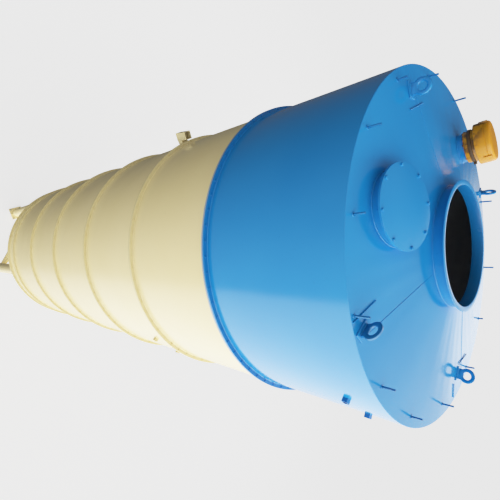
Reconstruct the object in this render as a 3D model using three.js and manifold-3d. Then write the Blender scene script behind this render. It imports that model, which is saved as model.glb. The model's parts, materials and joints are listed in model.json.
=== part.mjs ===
// Bolted cement silo: a flanged plate cylinder with a shallow cone roof, a hopper and four pipe legs.
// Millimetres, +Z up. The origin is on the floor, on the silo's axis.

import * as THREE from 'three';
import { mergeVertices } from 'three/addons/utils/BufferGeometryUtils.js';
import Module from 'manifold-3d';

const wasm = await Module();
wasm.setup();

// Driving dimensions

const SIDES = 48;                    // flats round the shell, with a corner at azimuth 0
const FACET = 360 / SIDES;
const GAP = 0.3;                     // kept between pieces that meet inside turned groups
const FITTING_SIDES = 32;            // flats round each fitting on the roof

const SHELL_RADIUS = 1700;
const SHELL_WALL = 6;
const FLANGE_OUT = 45;               // how far a seam flange stands off the shell
const FLANGE_THICK = 20;

const SKIRT_FOOT = 4900;
const SKIRT_HEIGHT = 500;
const COURSE_HEIGHT = 1500;
const COURSES = 6;                   // with the blue one on top

const ROOF_SLOPE = 8;                // degrees
const ROOF_SHEET = 6;

const COLLAR_BORE = 568;
const COLLAR_WALL = 8;
const COLLAR_RIM = 615;
const COLLAR_RIM_THICK = 8;
const COLLAR_TOP_ABOVE_RIM = 258;

const MANHOLE = {
  azimuth: -105, out: 1136, bore: 294, wall: 6, rim: 335, rimThick: 10, height: 92, below: 15,
};
const VALVE = {
  azimuth: 154.5, out: 1135, neckRadius: 147, neckWall: 6, neckHeight: 55, below: 15,
  bodyRadius: 163, bodyTop: 155, capRadius: 205, capTop: 290, lidTop: 305, lidRadius: 190, wall: 6,
};

const LUG = { radius: 75, hole: 40, thick: 22, centre: 94, footHalf: 55, arcSteps: 10 };
const LUG_PLACES = [                 // hand-set, so neither evenly spaced nor quite radial or upright
  { azimuth: -68.5, out: 1600, twist: 24, lean: 16 },
  { azimuth: 18.2, out: 1424, twist: -33, lean: 12 },
  { azimuth: 114, out: 1640, twist: 2, lean: 5 },
  { azimuth: -153.3, out: 1489, twist: -27, lean: 8 },
];

const HOPPER_WALL = 8;
const SPOUT_RADIUS = 158;
const SPOUT_BORE = 150;
const SPOUT_TOP = 2560;
const SPOUT_FOOT = 2420;
const OUTLET_FLANGE_RADIUS = 225;
const OUTLET_FLANGE_THICK = 16;

const LEGS = 4;
const LEG_SIDES = 16;
const LEG_OUT = 1500;
const LEG_RADIUS = 136.5;
const LEG_WALL = 8;
const LEG_AZIMUTH = -71.25;          // the middle of a shell flat
const BASE_PLATE = 400;
const BASE_PLATE_THICK = 20;

const GUSSET = { foot: 4350, tipFoot: 4790, tipOut: 1735, thick: 20 };

const TIE_HEIGHT = 2250;
const TIE_SIZE = 80;
const TIE_WALL = 5;
const BRACE_LEG = 70;
const BRACE_THICK = 6;
const BRACE_LOW = 2400;
const BRACE_HIGH = 4000;

const SLEEVE = {
  azimuth: -153.75, aside: 55, middle: 3080, near: 1770, deep: 105, wide: 100, wall: 8, length: 200, lean: 8,
  neckLength: 85,
};
const STUB = { side: 50, wall: 5, length: 40 };
const STUB_AZIMUTHS = [-41.25, -26.25];
const STUB_DEPTHS = [350, 3450];     // below the roof's rim

// Derived levels and distances

const SKIRT_TOP = SKIRT_FOOT + SKIRT_HEIGHT;
const RIM = SKIRT_TOP + COURSES * COURSE_HEIGHT;
const TOP_COURSE_FOOT = RIM - COURSE_HEIGHT;
const FLANGE_RADIUS = SHELL_RADIUS + FLANGE_OUT;
const SLOPE = THREE.MathUtils.degToRad(ROOF_SLOPE);
const FLAT = SHELL_RADIUS * Math.cos(THREE.MathUtils.degToRad(FACET / 2));
const LEG_FLAT = LEG_RADIUS * Math.cos(Math.PI / LEG_SIDES);
const CHORD_OUT = LEG_OUT * Math.SQRT1_2;
const HOPPER_RIM_FOOT = SKIRT_FOOT - FLANGE_THICK;
const HOPPER_STEEP = (HOPPER_RIM_FOOT - SPOUT_TOP) / (SHELL_RADIUS - SPOUT_RADIUS);
const roofHeight = (radius) => RIM + (SHELL_RADIUS - radius) * Math.tan(SLOPE);
const hopperHeight = (radius) => SPOUT_TOP + (radius - SPOUT_RADIUS) * HOPPER_STEEP;

// Materials

const paint = (color) => new THREE.MeshStandardMaterial({ color, roughness: 0.45, metalness: 0.1 });
const cream = paint(0xe8dfc2);
const blue = paint(0x2f8fd4);
const yellow = paint(0xdba437);

// Shapes

/** A solid of revolution about +Z from [radius, height] corners, anticlockwise seen with +Z up. */
function turned(corners, sides = SIDES) {
  const points = corners.map(([radius, height]) => new THREE.Vector2(radius, height));
  if (corners[0][0] > 0) points.push(points[0].clone());
  return new THREE.LatheGeometry(points, sides).rotateX(Math.PI / 2);
}

/** A plan outline of [x, y] corners raised from one height to another. */
function raised(corners, low, high, holes = []) {
  const shape = new THREE.Shape(corners.map(([x, y]) => new THREE.Vector2(x, y)));
  for (const hole of holes) shape.holes.push(new THREE.Path(hole.map(([x, y]) => new THREE.Vector2(x, y))));
  return new THREE.ExtrudeGeometry(shape, { depth: high - low, bevelEnabled: false }).translate(0, 0, low);
}

function rectangle(x0, x1, y0, y1) {
  return [[x0, y0], [x1, y0], [x1, y1], [x0, y1]];
}

function toManifold(geometry) {
  const bare = geometry.clone();
  bare.deleteAttribute('normal');
  bare.deleteAttribute('uv');
  const merged = mergeVertices(bare, 1e-3);
  const vertProperties = new Float32Array(merged.attributes.position.array);
  const triVerts = new Uint32Array(merged.index.array);
  return new wasm.Manifold(new wasm.Mesh({ numProp: 3, vertProperties, triVerts }));
}

function fromManifold(solid) {
  const { vertProperties, triVerts } = solid.getMesh();
  const geometry = new THREE.BufferGeometry();
  geometry.setAttribute('position', new THREE.BufferAttribute(new Float32Array(vertProperties), 3));
  geometry.setIndex(new THREE.BufferAttribute(new Uint32Array(triVerts), 1));
  geometry.computeVertexNormals();
  return geometry;
}

// Scene graph helpers

const silo = new THREE.Group();

function add(name, geometry, material, parent = silo) {
  const mesh = new THREE.Mesh(geometry, material);
  mesh.name = name;
  parent.add(mesh);
  return mesh;
}

/** A group turned to an azimuth: its +X points out from the axis. */
function facing(azimuth) {
  const group = new THREE.Group();
  group.rotation.z = THREE.MathUtils.degToRad(azimuth);
  silo.add(group);
  return group;
}

/** A group on the roof sheet, with +Z square to the sheet and +X down the slope. */
function onRoof({ azimuth, out }) {
  const group = new THREE.Group();
  group.position.set(out, 0, roofHeight(out));
  group.rotation.y = SLOPE;
  facing(azimuth).add(group);
  group.updateWorldMatrix(true, false);
  return group;
}

// The cylinder

/** A plate course: its wall, with an outward flange at the foot and, unless open, at the top. */
function course(name, foot, top, material, topFlange = true) {
  const inner = SHELL_RADIUS - SHELL_WALL;
  const upper = topFlange
    ? [[SHELL_RADIUS, top - FLANGE_THICK], [FLANGE_RADIUS, top - FLANGE_THICK], [FLANGE_RADIUS, top]]
    : [[SHELL_RADIUS, top]];
  add(name, turned([
    [inner, foot], [FLANGE_RADIUS, foot], [FLANGE_RADIUS, foot + FLANGE_THICK],
    [SHELL_RADIUS, foot + FLANGE_THICK], ...upper, [inner, top],
  ]), material);
}

function cylinder() {
  course('skirt_ring', SKIRT_FOOT, SKIRT_TOP, cream);
  for (let i = 0; i < COURSES - 1; i++) {
    const foot = SKIRT_TOP + i * COURSE_HEIGHT;
    course(`shell_course_${i + 1}`, foot, foot + COURSE_HEIGHT, cream);
  }
  course('top_course', TOP_COURSE_FOOT, RIM - ROOF_SHEET, blue, false);
}

// The roof and what stands on it

/** A cutter square to the roof sheet, for the hole under a fitting. */
function roofCutter(place, radius) {
  const depth = 120;
  const cutter = turned([[0, -depth], [radius, -depth], [radius, depth], [0, depth]], FITTING_SIDES);
  return toManifold(cutter.applyMatrix4(onRoof(place).matrixWorld));
}

function roof() {
  const hole = COLLAR_BORE + COLLAR_WALL + GAP;
  const seat = SHELL_RADIUS - 4 * SHELL_WALL;
  const sheet = turned([
    [seat, RIM - ROOF_SHEET], [SHELL_RADIUS, RIM - ROOF_SHEET], [SHELL_RADIUS, RIM],
    [hole, roofHeight(hole)], [hole, roofHeight(hole) - ROOF_SHEET],
  ]);
  const cut = toManifold(sheet)
    .subtract(roofCutter(MANHOLE, MANHOLE.bore + MANHOLE.wall + GAP))
    .subtract(roofCutter(VALVE, VALVE.neckRadius + GAP));
  add('roof_cone', fromManifold(cut), blue);

  const outer = COLLAR_BORE + COLLAR_WALL;
  const foot = roofHeight(hole) - ROOF_SHEET;
  const top = RIM + COLLAR_TOP_ABOVE_RIM;
  add('roof_collar', turned([
    [outer, foot], [outer, top - COLLAR_RIM_THICK], [COLLAR_RIM, top - COLLAR_RIM_THICK],
    [COLLAR_RIM, top], [COLLAR_BORE, top], [COLLAR_BORE, foot],
  ]), blue);
}

function manhole() {
  const place = onRoof(MANHOLE);
  const { bore, wall, rim, rimThick, height, below } = MANHOLE;
  const outer = bore + wall;
  const neckTop = height - rimThick - GAP;
  add('manhole_neck', turned([
    [outer, -below], [outer, neckTop - rimThick], [rim, neckTop - rimThick], [rim, neckTop],
    [bore, neckTop], [bore, -below],
  ], FITTING_SIDES), blue, place);
  const lid = [[0, height - rimThick], [rim, height - rimThick], [rim, height], [0, height]];
  add('manhole_cover', turned(lid, FITTING_SIDES), blue, place);
}

function reliefValve() {
  const place = onRoof(VALVE);
  const { neckRadius, neckWall, neckHeight, below, bodyRadius, bodyTop, wall } = VALVE;
  const { capRadius, capTop, lidTop, lidRadius } = VALVE;
  const neckBore = neckRadius - neckWall;
  add('relief_valve_neck', turned([
    [neckRadius, -below], [neckRadius, neckHeight - GAP], [neckBore, neckHeight - GAP], [neckBore, -below],
  ], FITTING_SIDES), blue, place);
  const bodyBore = bodyRadius - wall;
  add('relief_valve_body', turned([
    [bodyRadius, neckHeight], [bodyRadius, bodyTop - GAP], [bodyBore, bodyTop - GAP],
    [bodyBore, neckHeight + wall], [neckBore, neckHeight + wall], [neckBore, neckHeight],
  ], FITTING_SIDES), yellow, place);
  add('relief_valve_cap', turned([
    [0, lidTop - wall], [lidRadius - wall, lidTop - wall], [capRadius - wall, capTop],
    [capRadius - wall, bodyTop + wall], [bodyBore, bodyTop + wall], [bodyBore, bodyTop],
    [capRadius, bodyTop], [capRadius, capTop], [lidRadius, lidTop], [0, lidTop],
  ], FITTING_SIDES), yellow, place);
}

/** A ring-shaped lifting plate on a short foot, turned and leaning a little as it was welded on. */
function liftingLug(index, lugPlace) {
  const place = onRoof(lugPlace);
  const { radius, hole, thick, centre, footHalf, arcSteps } = LUG;
  const meet = Math.asin(footHalf / radius);
  const shape = new THREE.Shape();
  shape.moveTo(-footHalf, GAP);
  shape.lineTo(footHalf, GAP);
  shape.absarc(0, centre, radius, -Math.PI / 2 + meet, Math.PI * 1.5 - meet, false);
  const eye = new THREE.Path();
  eye.absarc(0, centre, hole, 0, Math.PI * 2, true);
  shape.holes.push(eye);
  const settings = { depth: thick, bevelEnabled: false, curveSegments: arcSteps };
  const plate = new THREE.ExtrudeGeometry(shape, settings).translate(0, 0, -thick / 2).rotateX(Math.PI / 2);
  const sideways = -Math.tan(THREE.MathUtils.degToRad(lugPlace.lean));
  plate.applyMatrix4(new THREE.Matrix4().makeShear(0, 0, 0, 0, 0, sideways));
  plate.rotateZ(THREE.MathUtils.degToRad(lugPlace.twist));
  add(`lifting_lug_${index + 1}`, plate, blue, place);
}

// The hopper

function hopper() {
  const across = HOPPER_WALL * Math.hypot(1, HOPPER_STEEP) / HOPPER_STEEP;
  add('hopper_cone', turned([
    [SPOUT_BORE, SPOUT_FOOT], [SPOUT_RADIUS, SPOUT_FOOT], [SPOUT_RADIUS, SPOUT_TOP],
    [SHELL_RADIUS, HOPPER_RIM_FOOT], [FLANGE_RADIUS, HOPPER_RIM_FOOT], [FLANGE_RADIUS, SKIRT_FOOT],
    [SHELL_RADIUS - SHELL_WALL, SKIRT_FOOT], [SHELL_RADIUS - across, HOPPER_RIM_FOOT],
    [SPOUT_BORE, SPOUT_TOP],
  ]), cream);
  const foot = SPOUT_FOOT - OUTLET_FLANGE_THICK;
  add('discharge_flange', turned([
    [SPOUT_BORE, foot], [OUTLET_FLANGE_RADIUS, foot],
    [OUTLET_FLANGE_RADIUS, SPOUT_FOOT], [SPOUT_BORE, SPOUT_FOOT],
  ]), cream);
}

// The legs and their bracing

/** Takes the hopper, and all above it, away from a piece that is welded to the cone from below. */
function coped(geometry, azimuth) {
  const turn = new THREE.Matrix4().makeRotationZ(THREE.MathUtils.degToRad(azimuth));
  const drop = GAP * Math.hypot(1, HOPPER_STEEP);
  const coneLine = [0, SHELL_RADIUS].map((radius) => [radius, hopperHeight(radius) - drop]);
  const far = 2 * SHELL_RADIUS;
  const above = turned([...coneLine, [far, HOPPER_RIM_FOOT - drop], [far, RIM], [0, RIM]]);
  const cut = fromManifold(toManifold(geometry.applyMatrix4(turn)).subtract(toManifold(above)));
  return cut.applyMatrix4(turn.invert());
}

function leg(index) {
  const azimuth = LEG_AZIMUTH + 90 * index;
  const place = facing(azimuth);
  const bore = LEG_RADIUS - LEG_WALL;
  const pipe = turned([
    [bore, BASE_PLATE_THICK], [LEG_RADIUS, BASE_PLATE_THICK], [LEG_RADIUS, SKIRT_FOOT], [bore, SKIRT_FOOT],
  ], LEG_SIDES).rotateZ(Math.PI / LEG_SIDES).translate(LEG_OUT, 0, 0);
  add(`leg_${index + 1}`, coped(pipe, azimuth), cream, place);

  const half = BASE_PLATE / 2;
  const plate = raised(rectangle(-half, half, -half, half), 0, BASE_PLATE_THICK);
  add(`base_plate_${index + 1}`, plate, cream, place).position.x = LEG_OUT;

  const face = LEG_OUT + LEG_FLAT + GAP;
  const { foot, tipFoot, tipOut, thick } = GUSSET;
  const outline = [[face, foot], [tipOut, tipFoot], [tipOut, SKIRT_FOOT], [face, SKIRT_FOOT]];
  const gusset = raised(outline, -thick / 2, thick / 2).rotateX(Math.PI / 2);
  add(`leg_bracket_${index + 1}`, coped(gusset, azimuth), cream, place);
}

/** A horizontal square tube between two neighbouring legs. */
function tie(index) {
  const place = facing(LEG_AZIMUTH + 45 + 90 * index);
  const half = TIE_SIZE / 2;
  const bore = half - TIE_WALL;
  const reach = CHORD_OUT - LEG_FLAT - GAP;
  const hole = rectangle(-bore, bore, -bore, bore);
  const tube = raised(rectangle(-half, half, -half, half), -reach, reach, [hole]).rotateX(Math.PI / 2);
  add(`tie_${index + 1}`, tube, cream, place).position.set(CHORD_OUT, 0, TIE_HEIGHT);
}

/** A steel angle that climbs from one leg to the next; side is +1 or -1, for the two that cross. */
function brace(index, side) {
  const place = facing(LEG_AZIMUTH + 45 + 90 * index);
  const reach = CHORD_OUT - LEG_FLAT - GAP;
  const climb = Math.atan2(BRACE_HIGH - BRACE_LOW, 2 * reach);
  const middle = (BRACE_LOW + BRACE_HIGH) / 2;
  const strip = (low, high, near, far) => {
    const rise = (at) => middle + at * Math.tan(climb);
    const up = (offset) => offset / Math.cos(climb);
    const outline = [
      [-reach, rise(-reach) + up(low)], [reach, rise(reach) + up(low)],
      [reach, rise(reach) + up(high)], [-reach, rise(-reach) + up(high)],
    ];
    return toManifold(raised(outline, near, far));
  };
  const flat = strip(-BRACE_LEG / 2, BRACE_LEG / 2, GAP / 2, BRACE_THICK);
  const lip = strip(-BRACE_LEG / 2, -BRACE_LEG / 2 + BRACE_THICK, GAP / 2, BRACE_LEG);
  const angle = fromManifold(flat.add(lip));
  angle.rotateX(Math.PI / 2).rotateZ(side * Math.PI / 2);
  add(`brace_${index + 1}${side > 0 ? 'a' : 'b'}`, angle, cream, place).position.x = CHORD_OUT;
}

// Brackets on the shell

/** A box sleeve for a pipe, held clear of a seam flange by a neck on the plate below it. */
function pipeSleeve() {
  const { azimuth, aside, middle, near, deep, wide, wall, length, lean, neckLength } = SLEEVE;
  const leaning = (x, y, z) => toManifold(raised(rectangle(-x, x, -y, y), -z, z)
    .rotateY(-THREE.MathUtils.degToRad(lean)).translate(near + deep / 2, 0, 0));
  const box = leaning(deep / 2, wide / 2, length / 2);
  const bore = leaning(deep / 2 - wall, wide / 2 - wall, length);
  const top = length / 2;
  const neckPlan = rectangle(FLAT + GAP, near + deep / 2, -wide / 2, wide / 2);
  const neck = raised(neckPlan, -top, -top + neckLength);
  const sleeve = fromManifold(box.add(toManifold(neck)).subtract(bore));
  add('pipe_sleeve', sleeve, cream, facing(azimuth)).position.set(0, aside, RIM - middle);
}

function ladderStubs() {
  const half = STUB.side / 2;
  const bore = half - STUB.wall;
  const hole = rectangle(-bore, bore, -bore, bore);
  let count = 0;
  for (const depth of STUB_DEPTHS) {
    for (const azimuth of STUB_AZIMUTHS) {
      count += 1;
      const tube = raised(rectangle(-half, half, -half, half), 0, STUB.length, [hole]).rotateY(Math.PI / 2);
      const color = depth < COURSE_HEIGHT ? blue : cream;
      const mesh = add(`ladder_stub_${count}`, tube, color, facing(azimuth));
      mesh.position.set(FLAT + GAP, 0, RIM - depth);
    }
  }
}

cylinder();
roof();
manhole();
reliefValve();
LUG_PLACES.forEach((place, index) => liftingLug(index, place));
hopper();
for (let i = 0; i < LEGS; i++) {
  leg(i);
  tie(i);
  brace(i, 1);
  brace(i, -1);
}
pipeSleeve();
ladderStubs();

export default silo;
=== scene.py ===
"""Dresses the bolted cement silo: smooth plate rings, bolts, welds and paint, seen from above the roof."""

import json
import math
import random

import bpy
from mathutils import Matrix, Vector


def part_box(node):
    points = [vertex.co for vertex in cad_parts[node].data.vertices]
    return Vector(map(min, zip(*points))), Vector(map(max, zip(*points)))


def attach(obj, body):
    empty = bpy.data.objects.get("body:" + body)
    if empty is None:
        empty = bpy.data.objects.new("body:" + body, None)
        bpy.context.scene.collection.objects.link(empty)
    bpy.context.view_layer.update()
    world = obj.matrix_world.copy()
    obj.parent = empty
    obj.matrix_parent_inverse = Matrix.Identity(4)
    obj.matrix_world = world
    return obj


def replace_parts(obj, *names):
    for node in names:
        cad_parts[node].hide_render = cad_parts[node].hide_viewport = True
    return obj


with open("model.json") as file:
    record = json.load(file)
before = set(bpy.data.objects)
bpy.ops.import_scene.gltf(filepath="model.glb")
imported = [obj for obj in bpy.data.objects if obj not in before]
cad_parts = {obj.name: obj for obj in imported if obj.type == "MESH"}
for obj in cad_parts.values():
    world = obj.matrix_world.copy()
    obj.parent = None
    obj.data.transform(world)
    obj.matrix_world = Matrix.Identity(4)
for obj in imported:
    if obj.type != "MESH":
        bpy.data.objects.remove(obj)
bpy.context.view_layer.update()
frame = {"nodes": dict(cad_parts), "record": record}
random.seed(7)

# Sizes, in metres and degrees

ROUND = 192                       # segments round the shell
RADIUS = 1.7
WALL = 0.006
WALL_ROWS = 16
FLANGE_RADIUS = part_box("top_course")[1][0]
FLANGE_THICK = 0.020
EDGE = 0.0015                     # rounding of plate edges
FILLET = 0.006                    # weld between a wall and its flange
GAP = 0.0003                      # between pieces that meet
TINY = 1e-6                       # lengths below this count as none
SEAM_BOLTS = 72
SEAM_BOLT = 0.012
BOLT_CIRCLE = RADIUS + 0.026

SKIRT_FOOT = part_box("skirt_ring")[0][2]
SKIRT_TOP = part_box("skirt_ring")[1][2]
COURSES = [f"shell_course_{i}" for i in range(1, 6)]
BLUE_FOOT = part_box("top_course")[0][2]
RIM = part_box("top_course")[1][2] + WALL
PLATE_SEAMS = (-12, 14, -6, 18, -15, 8, 3)    # azimuth of the first closing weld of each ring, from below
PLATE_BEAD = {"radius": 0.004, "sunk": 0.0005, "step": 0.03}
WAVE_EASE = 0.15                  # distance from a wall's ends over which its waves die out
WAVE_SUNK = 0.0002

SLOPE = math.radians(8)
ROOF_ROUND = 432                  # segments round the roof, enough for its finest waves
ROOF_ROWS = 12
ROOF_SHEET = 0.006
ROOF_EDGE = 0.003                 # rounding of the sheet's edge
ROOF_SEAMS = [-66.5 + 90 * i for i in range(4)]    # azimuths of the welds between its sheets
ROOF_BEAD = {"radius": 0.0028, "from_collar": 0.01, "from_edge": 0.02, "steps": 40}
ROOF_SUNK = 0.0018                # how far the middle of the sheet lies below its true cone
ROOF_EASE = 0.25                  # distance from collar and shell over which that dies out

COLLAR_BORE = 0.568
COLLAR_WALL = 0.008
COLLAR_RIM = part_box("roof_collar")[1][0]
COLLAR_RIM_THICK = 0.008
COLLAR_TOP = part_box("roof_collar")[1][2]
COLLAR_PAINTED = 0.14             # how deep the paint reaches inside the collar

MANHOLE = {"azimuth": -105, "out": 1.136, "bore": 0.294, "wall": 0.006, "rim": 0.335, "plate": 0.010,
           "height": 0.092, "below": 0.015}
MANHOLE_BOLTS = {"count": 8, "first": 22.5, "circle": 0.313, "size": 0.016}
VALVE = {"azimuth": 154.5, "out": 1.135, "neck": 0.147, "neck_top": 0.055, "body": 0.163, "body_top": 0.155,
         "cap": 0.205, "cap_top": 0.290, "lid": 0.190, "lid_top": 0.305, "wall": 0.006, "below": 0.015}
LID_SEAM = 0.252                  # height of the joint between the valve's cap and its lid
CLAMP_BAND = (0.092, 0.128)       # low and high edge of the band round the valve's body
CLAMP_AZIMUTH = -150              # where the band is drawn together
FITTING_ROUND = 96                # segments round the manhole, the valve's cap and the outlet
NECK_ROUND = 64                   # segments round the valve's neck, body and band

LUG = {"radius": 0.075, "hole": 0.040, "thick": 0.022, "centre": 0.094, "foot_half": 0.055, "edge": 0.003}
LUG_PLACES = [                    # azimuth, distance from the axis, twist, lean
    (-68.5, 1.600, 24, 16), (18.2, 1.424, -33, 12), (114, 1.640, 2, 5), (-153.3, 1.489, -27, 8),
]
LUG_PAD = {"long": 0.150, "wide": 0.085, "thick": 0.009, "edge": 0.003}

POSTS = [                         # handrail posts: azimuth, distance from the axis, height
    (-172.5, 1.61, 0.088), (-147, 1.62, 0.082), (-122, 1.63, 0.106), (-98, 1.615, 0.092),
    (-73.5, 1.66, 0.120), (-49, 1.61, 0.105), (-25.5, 1.61, 0.095), (1, 1.56, 0.108), (31, 1.61, 0.085),
    (56, 1.61, 0.050), (80, 1.615, 0.110), (110, 1.615, 0.115), (134, 1.615, 0.105), (161, 1.66, 0.112),
]
POST = {"radius": 0.0085, "sides": 14, "lean": 0.004, "sunk": 0.004, "end": 0.002}
POST_WELD = {"ring": 0.015, "points": 12, "radius": 0.004}
LOOSE_BARS = [                    # bars left lying on the roof: distance and azimuth of either end
    ((1.690, -72.2), (1.411, -74.1)), ((1.319, 19.6), (1.403, 30.7)),
    ((1.481, 13.1), (1.649, 13.7)), ((1.357, -147.3), (1.352, -160.5)),
]
BAR = {"radius": 0.0045, "sides": 10}

SPOUT_RADIUS = 0.158
SPOUT_BORE = 0.150
SPOUT_TOP = 2.56
SPOUT_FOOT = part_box("discharge_flange")[1][2]
OUTLET_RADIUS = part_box("discharge_flange")[1][0]
OUTLET_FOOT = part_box("discharge_flange")[0][2]
OUTLET_BOLTS = {"count": 12, "circle": (SPOUT_RADIUS + OUTLET_RADIUS) / 2 + 0.006, "size": 0.014}
HOPPER_WALL = 0.008
HOPPER_ROWS = 14
HOPPER_RIM_FOOT = SKIRT_FOOT - FLANGE_THICK
HOPPER_SEAM = 18                  # azimuth of one of the two welds down the cone
HOPPER_SEAM_STEPS = 60

LEG_COUNT = 4
LEG_AZIMUTH = -71.25
LEG_OUT = 1.5
LEG_RADIUS = 0.1365
LEG_WALL = 0.008
LEG_ROUND = 48                    # segments round a leg
LEG_HEAD_GAP = 0.001              # between a leg's head and the cone
BASE_THICK = 0.020
ANCHOR = {"reach": 0.155, "size": 0.022, "end": 1.1}
RIB = {"sunk": 0.002, "reach": 0.192, "lip": 0.02, "head": 0.012, "height": 0.13, "thick": 0.010}
CHORD_OUT = LEG_OUT * math.sqrt(0.5)
BRACE_CROSSING = 3.2
BRACE_THICK = 0.006
BRACE_BOLT = 0.016
SOFT_EDGE = 0.0012                # bevel on the plates and tubes that keep their mesh
SOFT_ANGLE = 40

BEAD_OUT = 0.002                  # how far a weld bead's middle stands off the wall that it goes round
BEAD = 0.006                      # radius of the bead round a fitting or leg
BEAD_SMALL = 0.005                # round the valve's neck and the spout
BEAD_THIN = 0.004                 # on the hopper's cone
BEAD_HEAD = 0.007                 # round a leg's head

# How much a bead's thickness varies, as a share of it
RIPPLE_ROOF, RIPPLE_PLATE, RIPPLE, RIPPLE_SMALL = 0.10, 0.12, 0.15, 0.20

# Edges at least this sharp show as edges: on plate and bolts, on bars and lifting plates, on beads
SHARP, SHARP_BAR, SHARP_BEAD = 35, 50, 60


# Camera, light and floor

CAMERA = {"lens": 26.6736, "sensor": 36, "far": 500, "place": (0, -3.8696, 15.7247),
          "turned": (0.5089, -44.2929, 88.9483)}


def camera():
    """The photograph's view: above the roof, rolled so that the silo lies across the frame."""
    data = bpy.data.cameras.new("camera")
    data.lens = CAMERA["lens"]
    data.sensor_width = CAMERA["sensor"]
    data.clip_end = CAMERA["far"]
    cam = bpy.data.objects.new("camera", data)
    cam.location = CAMERA["place"]
    cam.rotation_euler = [math.radians(angle) for angle in CAMERA["turned"]]
    bpy.context.scene.collection.objects.link(cam)
    bpy.context.scene.camera = cam


class Nodes:
    """A few short ways to write a shader's nodes."""

    def __init__(self, tree, coordinate="Object"):
        self.tree = tree
        self.place = tree.nodes.new("ShaderNodeTexCoord").outputs[coordinate]

    def feed(self, socket, value):
        if isinstance(value, bpy.types.NodeSocket):
            self.tree.links.new(value, socket)
        else:
            socket.default_value = value

    def math(self, operation, first, second=0.0):
        node = self.tree.nodes.new("ShaderNodeMath")
        node.operation = operation
        self.feed(node.inputs[0], first)
        self.feed(node.inputs[1], second)
        return node.outputs[0]

    def vector_math(self, operation, first, second):
        node = self.tree.nodes.new("ShaderNodeVectorMath")
        node.operation = operation
        self.feed(node.inputs[0], first)
        self.feed(node.inputs[1], second)
        return node.outputs["Value" if operation in ("DOT_PRODUCT", "LENGTH", "DISTANCE") else "Vector"]

    def noise(self, scale, detail=4.0, stretch=(1, 1, 1)):
        node = self.tree.nodes.new("ShaderNodeTexNoise")
        self.feed(node.inputs["Vector"], self.vector_math("MULTIPLY", self.place, stretch))
        node.inputs["Scale"].default_value = scale
        node.inputs["Detail"].default_value = detail
        return node.outputs["Fac"]

    def ramp(self, value, low, high, start=0.0, end=1.0, smooth=False):
        """Goes from start to end as the value goes from low to high."""
        node = self.tree.nodes.new("ShaderNodeMapRange")
        if smooth:
            node.interpolation_type = "SMOOTHSTEP"
        for socket, setting in zip(node.inputs, (value, low, high, start, end)):
            self.feed(socket, setting)
        return node.outputs["Result"]

    def mix(self, fac, first, second):
        """Mixes two colours. Their sockets go by number, because other kinds share their names."""
        node = self.tree.nodes.new("ShaderNodeMix")
        node.data_type = "RGBA"
        self.feed(node.inputs[0], fac)
        self.feed(node.inputs[6], first)
        self.feed(node.inputs[7], second)
        return node.outputs[2]

    def bump(self, height, distance, strength, normal=None):
        node = self.tree.nodes.new("ShaderNodeBump")
        self.feed(node.inputs["Height"], height)
        node.inputs["Distance"].default_value = distance
        node.inputs["Strength"].default_value = strength
        if normal is not None:
            self.feed(node.inputs["Normal"], normal)
        return node.outputs["Normal"]

    def height(self):
        node = self.tree.nodes.new("ShaderNodeSeparateXYZ")
        self.feed(node.inputs[0], self.place)
        return node.outputs["Z"]

    def from_axis(self):
        """Distance from the silo's axis."""
        return self.vector_math("LENGTH", self.vector_math("MULTIPLY", self.place, (1, 1, 0)), (0, 0, 0))

    def from_point(self, point):
        return self.vector_math("DISTANCE", self.place, point)


def direction(azimuth, elevation):
    a, e = math.radians(azimuth), math.radians(elevation)
    return Vector((math.cos(a) * math.cos(e), math.sin(a) * math.cos(e), math.sin(e)))


# Soft lights in the sky: azimuth, elevation, angle where it fades out, angle where it is full, radiance
SKY_LIGHTS = [(-80, 10, 100, 20, 0.36), (-60, 0, 90, 20, 0.17), (0, 90, 70, 20, 0.41),
              (-30, -25, 70, 20, 0.37), (82, 2, 22, 5, 1.5)]
SIDE_LIGHTS = [(0, 0, 100, 20, 2.22), (-30, 0, 80, 15, 1.15)]
SKY_EVEN = 0.11
SIDE_EDGE = -54                   # azimuth of the upright edge that the side lights end at
SIDE_EDGE_SOFT = 1.5              # half the angle over which they end
KEY = {"azimuth": 75, "elevation": 25, "energy": 2.0, "angle": 30, "away": 30}


def sky_light(n, azimuth, elevation, outer, inner, radiance):
    """A round bright part of the sky, full within its inner angle and gone beyond its outer one."""
    facing = n.vector_math("DOT_PRODUCT", n.place, direction(azimuth, elevation))
    gone, full = math.cos(math.radians(outer)), math.cos(math.radians(inner))
    return n.ramp(facing, gone, full, 0, radiance, smooth=True)


def sky():
    """Even soft light, broad bright parts, a narrow one low down, and side lights cut off at an edge."""
    world = bpy.data.worlds.new("sky")
    world.use_nodes = True
    n = Nodes(world.node_tree, "Generated")
    level = 0.0
    for light in SIDE_LIGHTS:
        level = n.math("ADD", level, sky_light(n, *light))
    half_of_sky = sky_light(n, SIDE_EDGE + 90, 0, 90 + SIDE_EDGE_SOFT, 90 - SIDE_EDGE_SOFT, 1)
    level = n.math("MULTIPLY", level, half_of_sky)
    for light in SKY_LIGHTS:
        level = n.math("ADD", level, sky_light(n, *light))
    level = n.math("ADD", level, SKY_EVEN)
    background = world.node_tree.nodes["Background"]
    background.inputs["Color"].default_value = (1, 1, 1, 1)
    n.feed(background.inputs["Strength"], level)
    bpy.context.scene.world = world


def key_light():
    """A broad sun that lights the silo and shows in no reflection."""
    outwards = direction(KEY["azimuth"], KEY["elevation"])
    data = bpy.data.lights.new("key", "SUN")
    data.energy = KEY["energy"]
    data.angle = math.radians(KEY["angle"])
    key = bpy.data.objects.new("key", data)
    key.location = KEY["away"] * outwards
    key.rotation_euler = (-outwards).to_track_quat("-Z", "Y").to_euler()
    key.visible_camera = False
    key.visible_glossy = False
    bpy.context.scene.collection.objects.link(key)
    return key


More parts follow.
